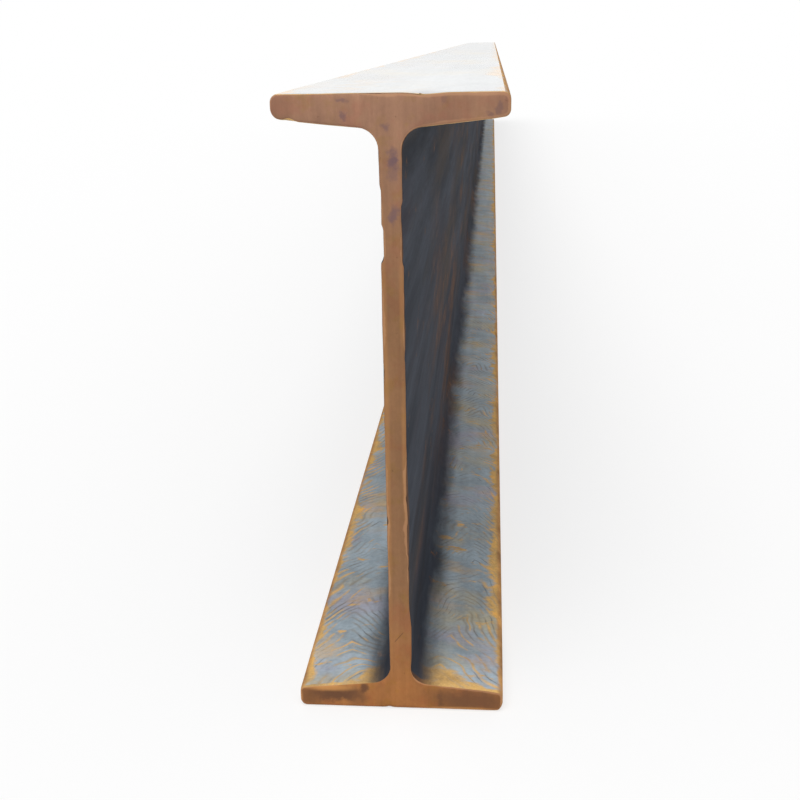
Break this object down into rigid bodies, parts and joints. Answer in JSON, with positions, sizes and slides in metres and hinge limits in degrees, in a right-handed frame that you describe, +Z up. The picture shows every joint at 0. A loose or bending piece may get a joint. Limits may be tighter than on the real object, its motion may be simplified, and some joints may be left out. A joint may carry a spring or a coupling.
{
  "type": "tapered-flange steel i-beam",
  "caption": "Hot-rolled steel I-beam with sloping flange inner faces, filleted roots and rounded toes, cut square at its ends, for framing and carrying loads.",
  "frame": {"origin": "middle of the underside of the lower flange, halfway along the beam", "axes": "+Z up through the web, +Y along the beam, +X across the flanges"},
  "size_m": [0.154, 6, 0.45],
  "materials": {
    "rusted_steel": "matte"
  },
  "bodies": {
    "root": {"i_beam": "rusted_steel"}
  },
  "joints": []
}
